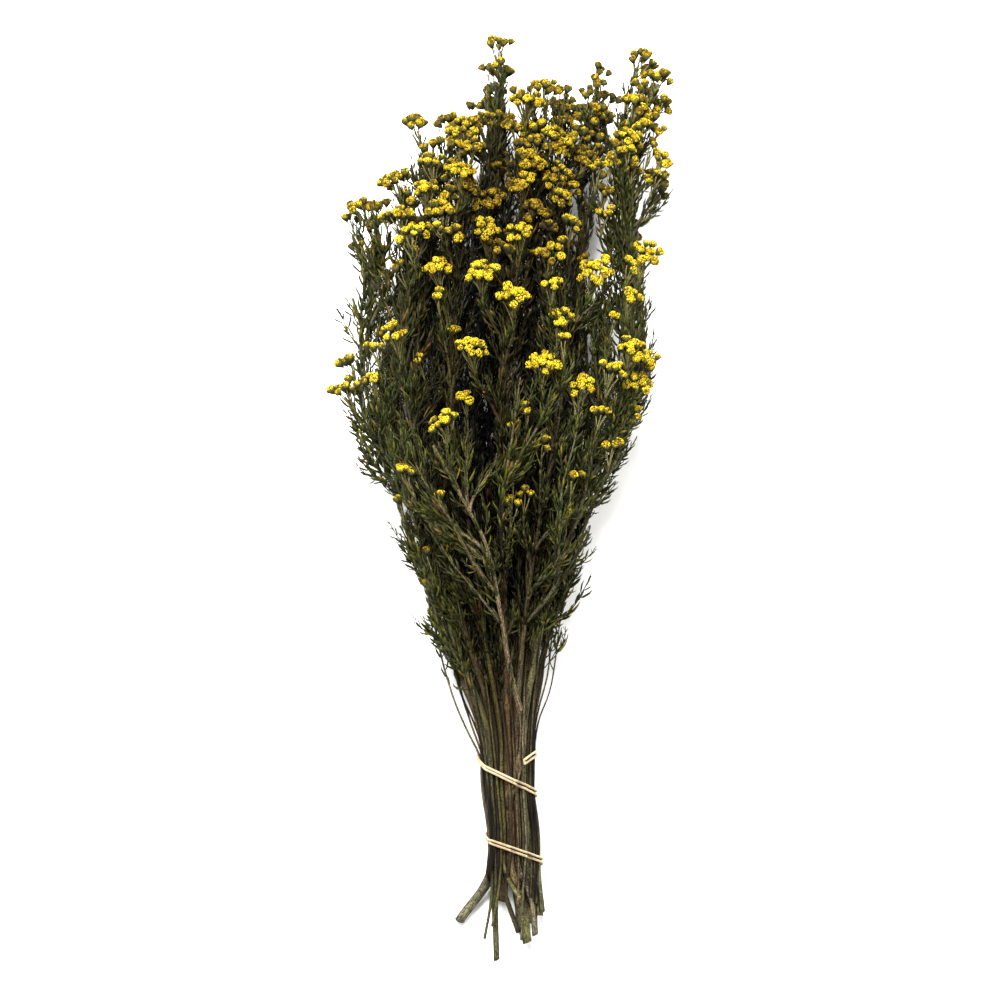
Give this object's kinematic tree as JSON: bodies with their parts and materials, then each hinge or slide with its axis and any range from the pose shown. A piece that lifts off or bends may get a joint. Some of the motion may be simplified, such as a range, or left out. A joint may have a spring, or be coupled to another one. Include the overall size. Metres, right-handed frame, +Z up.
{
  "type": "dried phylica bunch",
  "caption": "Tied bunch of dried phylica: forked woody stems with small narrow leaves and clusters of yellow flower heads.",
  "frame": {"origin": "under the middle of the bunch's box, on the surface that it lies on", "axes": "+Y along the bunch from the cut ends to the flowers, +X to the right seen from above, +Z up off the surface"},
  "size_m": [0.2205, 0.5994, 0.1328],
  "materials": {
    "wood": "matt bark with leaves",
    "bloom": "matt dry petals",
    "tie": "matt"
  },
  "bodies": {
    "root": {"stem_front_green": "wood", "stem_front_dark": "wood", "stem_front_yellowish": "wood", "stem_front_forked": "wood", "stem_front_grey": "wood", "stem_front_olive": "wood", "stem_middle_splayed": "wood", "stem_middle_left": "wood", "stem_middle_inner_left": "wood", "stem_middle_inner_right": "wood", "stem_middle_right": "wood", "stem_middle_far_right": "wood", "stem_back_far_left": "wood", "stem_back_left": "wood", "stem_back_middle": "wood", "stem_back_right": "wood", "stem_back_far_right": "wood", "bloom_01": "bloom", "bloom_02": "bloom", "bloom_03": "bloom", "bloom_04": "bloom", "bloom_05": "bloom", "bloom_06": "bloom", "bloom_07": "bloom", "bloom_08": "bloom", "bloom_09": "bloom", "bloom_10": "bloom", "bloom_11": "bloom", "bloom_12": "bloom", "bloom_13": "bloom", "bloom_14": "bloom", "bloom_15": "bloom", "bloom_16": "bloom", "bloom_17": "bloom", "bloom_18": "bloom", "bloom_19": "bloom", "bloom_20": "bloom", "bloom_21": "bloom", "bloom_22": "bloom", "bloom_23": "bloom", "bloom_24": "bloom", "bloom_25": "bloom", "bloom_26": "bloom", "bloom_27": "bloom", "bloom_28": "bloom", "bloom_29": "bloom", "bloom_30": "bloom", "bloom_31": "bloom", "bloom_32": "bloom", "bloom_33": "bloom", "bloom_34": "bloom", "bloom_35": "bloom", "bloom_36": "bloom", "bloom_37": "bloom", "bloom_38": "bloom", "bloom_39": "bloom", "bloom_40": "bloom", "bloom_41": "bloom", "tie_upper": "tie", "tie_lower": "tie"}
  },
  "joints": []
}
